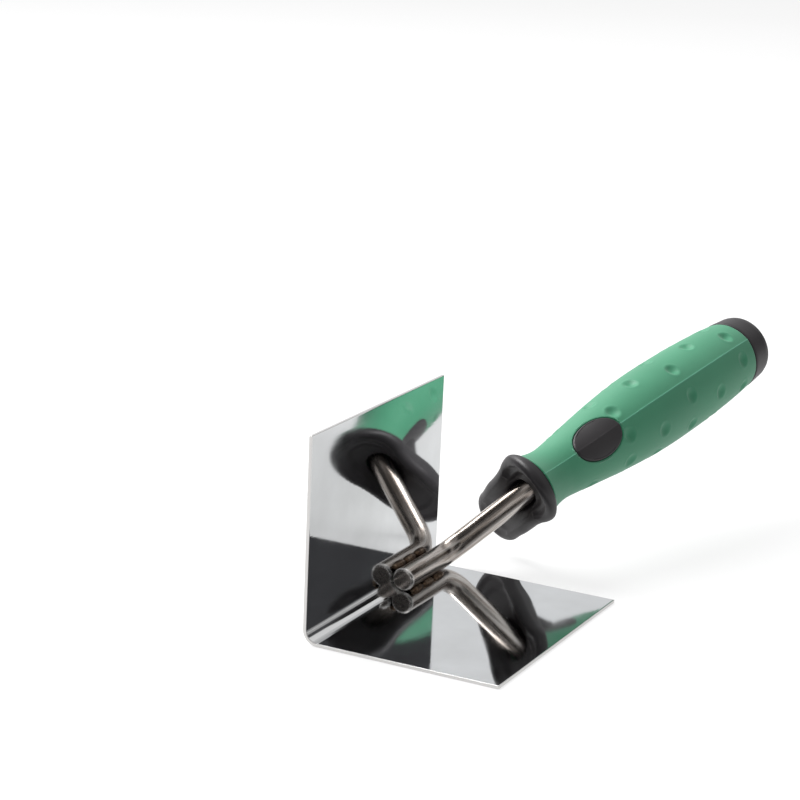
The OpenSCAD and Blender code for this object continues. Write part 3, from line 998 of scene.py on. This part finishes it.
# %% Field to mesh
def net_of(field, low, high, cell):
    """Closed quad mesh of field = 0 inside a box."""
    axes = [np.arange(a, b + cell, cell) for a, b in zip(low, high)]
    value = field(*np.meshgrid(*axes, indexing="ij"))
    shape = value.shape
    total = np.zeros((*shape, 3))
    count = np.zeros(shape)
    edges = []
    for axis in range(3):
        size = [n - (1 if k == axis else 0) for k, n in enumerate(shape)]
        first = value[tuple(slice(0, n) for n in size)]
        second = value[tuple(slice(1 if k == axis else 0, None) for k in range(3))]
        where = np.argwhere((first < 0) != (second < 0))
        where = where[np.all((where > 0) & (where < np.array(shape) - 1), axis=1)]
        a, b = value[tuple(where.T)], value[tuple((where + np.eye(3, dtype=int)[axis]).T)]
        cut = where.astype(float)
        cut[:, axis] += a / (a - b)
        others = [k for k in range(3) if k != axis]
        around = []
        for back in ((0, 0), (1, 0), (1, 1), (0, 1)):
            cube = where.copy()
            cube[:, others[0]] -= back[0]
            cube[:, others[1]] -= back[1]
            np.add.at(total, tuple(cube.T), cut)
            np.add.at(count, tuple(cube.T), 1)
            around.append(np.ravel_multi_index(tuple(cube.T), shape))
        quads = np.stack(around, -1)
        turned = (a < 0) != (axis == 1)
        edges.append(np.where(turned[:, None], quads, quads[:, ::-1]))
    quads = np.vstack(edges)
    used = np.unique(quads)
    points = (total.reshape(-1, 3)[used] / count.ravel()[used, None]) * cell + np.array(low)
    return points, np.searchsorted(used, quads)


def settle(field, points, steps=3, h=0.02):
    """Newton steps onto field = 0, each no longer than a quarter of a millimetre."""
    nudges = h * np.eye(3)
    for _ in range(steps):
        value = field(*points.T)
        rises = [field(*(points + e).T) - field(*(points - e).T) for e in nudges]
        slope = np.stack(rises, -1) / (2 * h)
        move = -value[:, None] * slope / np.maximum((slope**2).sum(1, keepdims=True), 0.2)
        length = np.linalg.norm(move, axis=1, keepdims=True)
        points = points + move * np.minimum(1, 0.25 / np.maximum(length, 1e-9))
    return points


GUARD_LOW, GUARD_HIGH, CELL = (-17.9, -33.4, -12.3), (22.4, 11.7, 12.3), 0.3
guard_points, guard_faces = net_of(guard_field, GUARD_LOW, GUARD_HIGH, CELL)
guard_points = settle(guard_field, guard_points)
add_piece("guard_and_core", handle_to_row(guard_points), guard_faces.tolist(), black, "core_plastic",
          ["handle_core"])

# %% [markdown]
# ## Thumb pad and end cap
# The pad is a disc bent to the skin: it stands a hair proud, with a rounded edge and a
# narrow gap to the pocket's wall. The cap is turned: a shallow groove where it meets the
# green, a gentle taper, a broad round and a slightly domed end.

# %% Thumb pad
PAD_PROUD, PAD_GAP = 0.14, 0.1
PAD_EDGE = [(-0.8, -0.14), (-0.58, -0.11), (-0.4, -0.04), (-0.27, 0.08), (-0.2, 0.26), (-0.18, 0.6),
            (-0.18, POCKET - PAD_GAP)]


def pad_surface(columns=128):
    """Rows from the middle of the pad to its outline, over the edge and underneath."""
    turn = np.linspace(0, 2 * math.pi, columns, endpoint=False)
    du, dt = PAD["half_len"] * np.cos(turn), PAD["half_turn"] * np.sin(turn)
    rows = []
    for k in np.linspace(0.08, 0.9, 16):
        u, angle = PAD["at"] + du * k, dt * k
        rows.append(around_axis(u, angle, grip_radius(u, angle) + PAD_PROUD))
    rows += island_rows(PAD, du, dt, PAD_EDGE)
    for k in (0.6, 0.25):
        u, angle = PAD["at"] + du * k, dt * k
        rows.append(around_axis(u, angle, turned_radius(u) - POCKET + PAD_GAP))
    middle, straight_up = np.array(PAD["at"]), np.array(0.0)
    top = around_axis(middle, straight_up, grip_radius(middle, straight_up) + PAD_PROUD)
    under = around_axis(middle, straight_up, turned_radius(middle) - POCKET + PAD_GAP)
    return closed_rings(np.stack(rows), top, under)


pad_points, pad_faces = pad_surface()
add_piece("thumb_inlay", handle_to_row(pad_points), pad_faces, black, "core_plastic")

# %% End cap
SPIGOT_START, CAP_END = 100.6, 112.4


def cap_surface(columns=120):
    """Turned profile (u, r) from the hidden spigot to the middle of the end face."""
    corner = np.linspace(0, math.pi / 2, 10)
    shoulder = np.linspace(0, math.pi / 2, 6)
    u = np.r_[SPIGOT_START, 101.4, 102.02, 102.02, 102.35 - 0.3 * np.cos(shoulder) + 0.03,
              np.linspace(103, 109.6, 12), CAP_END - 0.25 - 2.1 * (1 - np.sin(corner)),
              CAP_END - 0.13, CAP_END - 0.04]
    r = np.r_[10.4, 10.5, 10.6, 11.2, 11.28 + 0.35 * np.sin(shoulder), np.linspace(11.66, 11.05, 12),
              8.75 + 2.1 * np.cos(corner), 5.5, 2.0]
    angle = np.linspace(0, 2 * math.pi, columns, endpoint=False)
    rings = around_axis(u[:, None] + 0 * angle, angle + 0 * u[:, None], r[:, None] + 0 * angle)
    return closed_rings(rings, [SPIGOT_START, 0, 0], [CAP_END, 0, 0])


cap_points, cap_faces = cap_surface()
add_piece("butt_cap", handle_to_row(cap_points), cap_faces, black, "core_plastic", ["end_cap"])

# %% [markdown]
# ## The camera
# A long lens keeps the perspective gentle. The camera is turned by three angles: round the
# tool, above it, and a small roll about its own line of sight. Its right, up and back
# directions are the columns of its matrix.

# %% Camera
EYE = Vector((-0.541175, -0.300817, 0.239826))
AZIMUTH, ELEVATION, ROLL = math.radians(-63.16), math.radians(15.259), math.radians(2.493)
level_reach = math.cos(ELEVATION)
back = Vector((math.sin(AZIMUTH) * level_reach, -math.cos(AZIMUTH) * level_reach, math.sin(ELEVATION)))
level = Vector((0, 0, 1)).cross(back).normalized()
upright = back.cross(level)
right = math.cos(ROLL) * level + math.sin(ROLL) * upright
up = -math.sin(ROLL) * level + math.cos(ROLL) * upright
lens = bpy.data.cameras.new("camera")
lens.lens = 107.49
lens.sensor_width = 36.0
lens.clip_start = 0.01
camera = bpy.data.objects.new("camera", lens)
camera.matrix_world = Matrix((right, up, back)).transposed().to_4x4()
camera.location = EYE
bpy.context.scene.collection.objects.link(camera)
bpy.context.scene.camera = camera
print("camera looks along", (-back).to_tuple(3))

# %% [markdown]
# ## Stage and light
# The tool lies on a plain pale floor that glows a little, as white paper does under studio
# light. One broad soft light stands high on the camera's left, and a weak one fills from
# above. A polished blade shows the room more than itself, so cards stand outside the view.
# A dark one gives the mirror something to hold, and two bright ones fill the rest of it.
# A large dark flag behind the camera takes light off the side of the handle that faces it.

# %% Cards and lights
def look_along(direction):
    """Rotation that points an object's -Z along a direction."""
    return direction.to_track_quat("-Z", "Y").to_euler()


def staged_card(name, middle, towards, width, height, colour, flag=False):
    """Flat card that faces a point. Mirrors see its even glow, and a flag also takes light away."""
    mesh = bpy.data.meshes.new(name)
    x, y = width / 2, height / 2
    mesh.from_pydata([(-x, -y, 0), (x, -y, 0), (x, y, 0), (-x, y, 0)], [], [(0, 1, 2, 3)])
    material = bpy.data.materials.new(name)
    material.use_nodes = True
    tree = material.node_tree
    tree.nodes.remove(tree.nodes["Principled BSDF"])
    glow = tree.nodes.new("ShaderNodeEmission")
    glow.inputs["Color"].default_value = (*colour, 1)
    tree.links.new(glow.outputs["Emission"], tree.nodes["Material Output"].inputs["Surface"])
    mesh.materials.append(material)
    card = bpy.data.objects.new(name, mesh)
    card.location = middle
    card.rotation_euler = look_along(Vector(middle) - Vector(towards))
    card.visible_camera = False
    card.visible_shadow = flag
    card.visible_diffuse = flag
    bpy.context.scene.collection.objects.link(card)


def staged_area(name, middle, towards, size, watts):
    """Round soft light of a diameter in metres, aimed at a point."""
    lamp = bpy.data.lights.new(name, "AREA")
    lamp.shape = "DISK"
    lamp.size = size
    lamp.energy = watts
    light = bpy.data.objects.new(name, lamp)
    light.location = middle
    light.rotation_euler = look_along(Vector(towards) - Vector(middle))
    bpy.context.scene.collection.objects.link(light)


# %% Floor and sky
FLOOR_HALF = 4.0
HAIR_BELOW = -0.0001
floor_mesh = bpy.data.meshes.new("floor")
floor_corners = [(x * FLOOR_HALF, y * FLOOR_HALF, 0) for x, y in ((-1, -1), (1, -1), (1, 1), (-1, 1))]
floor_mesh.from_pydata(floor_corners, [], [(0, 1, 2, 3)])
floor_paint, floor_tree, floor_shader = shader_of("floor_paint", Roughness=0.8, Specular_IOR_Level=0.1)
floor_shader.inputs["Base Color"].default_value = (0.22, 0.22, 0.22, 1)
floor_shader.inputs["Emission Color"].default_value = (1, 1, 1, 1)
floor_shader.inputs["Emission Strength"].default_value = 0.76
floor_mesh.materials.append(floor_paint)
floor = bpy.data.objects.new("floor", floor_mesh)
floor.location = (0, 0, HAIR_BELOW)
bpy.context.scene.collection.objects.link(floor)

SKY = 0.5
world = bpy.data.worlds.new("studio")
world.use_nodes = True
world.node_tree.nodes["Background"].inputs["Color"].default_value = (1, 1, 1, 1)
world.node_tree.nodes["Background"].inputs["Strength"].default_value = SKY
bpy.context.scene.world = world
bpy.context.scene.view_settings.view_transform = "Standard"

print("floor:", 2 * FLOOR_HALF, "m wide, under a sky of strength", SKY)

# %% Placing the lights and cards
CENTRE = Vector((0.09, -0.02, 0.05))
key_from = (-right * 0.52 + up * 0.8 - back * 0.12).normalized()
high_from = Vector((0.77, -0.31, 0.56)).normalized()
dark_from = Vector((0.864, -0.403, 0.300)).normalized()
bright_from = Vector((0.852, 0.412, 0.35)).normalized()
behind_camera = CENTRE + back * 1.7 + right * 0.5
staged_area("key_light", CENTRE + key_from * 1.2, CENTRE, 1.0, 30.0)
staged_area("top_light", CENTRE + Vector((0.1, 0.2, 1.4)), CENTRE, 1.2, 3.0)
staged_card("high_card", CENTRE + high_from * 1.25, CENTRE, 0.9, 0.36, (0.95, 0.95, 0.95))
staged_card("dark_card", CENTRE + dark_from * 1.2, CENTRE, 0.56, 0.30, (0.085, 0.085, 0.09))
staged_card("room_flag", behind_camera, CENTRE, 2.2, 1.5, (0.06, 0.06, 0.06), flag=True)
staged_card("bright_card", CENTRE + bright_from * 1.6, CENTRE, 1.9, 1.1, (0.93, 0.94, 0.95))
print("lights:", len(bpy.data.lights))
